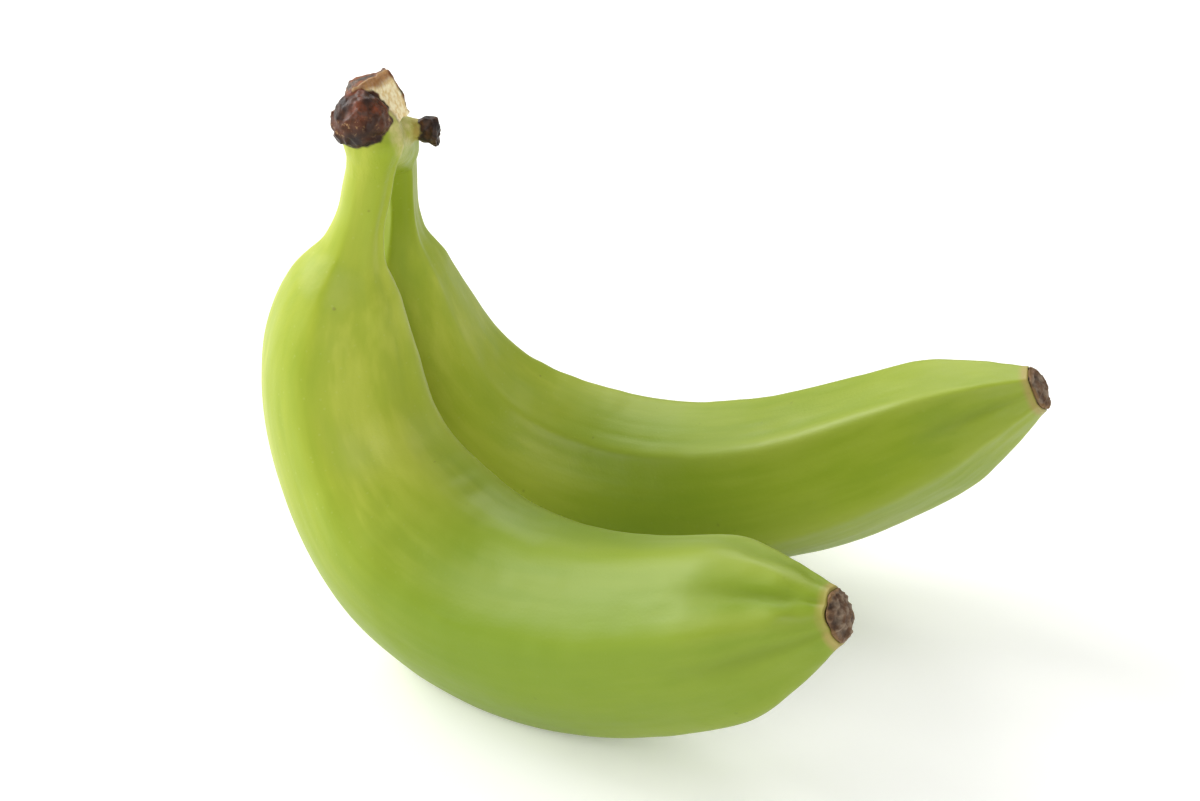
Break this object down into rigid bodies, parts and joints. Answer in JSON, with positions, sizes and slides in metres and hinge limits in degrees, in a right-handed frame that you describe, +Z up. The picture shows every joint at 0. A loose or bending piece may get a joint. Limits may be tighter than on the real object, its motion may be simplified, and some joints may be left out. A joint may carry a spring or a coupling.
{
  "type": "bunch of bananas",
  "caption": "Green, unripe bananas joined at one cut, browned crown, resting on their curved bellies with crown and tips raised.",
  "frame": {"origin": "on the surface that the bunch rests on, under the middle of its bounding box", "axes": "+Z up; +X along the bunch's longest side, from the crown towards the tip of the back banana; +Y from the front banana towards the back one"},
  "size_m": [0.1586, 0.1306, 0.121],
  "materials": {
    "green_peel": "satin, waxy unripe banana peel with soft long ridges and pale mottling",
    "crown_callus": "dark wrinkled callus, fibrous cream cut face, green cushion under it",
    "flower_scab": "dry, fibrous, brown-grey flower remnant"
  },
  "bodies": {
    "root": {"banana_front": "green_peel", "banana_back": "green_peel", "crown": "crown_callus", "blossom_tip_front": "flower_scab", "blossom_tip_back": "flower_scab"}
  },
  "joints": []
}
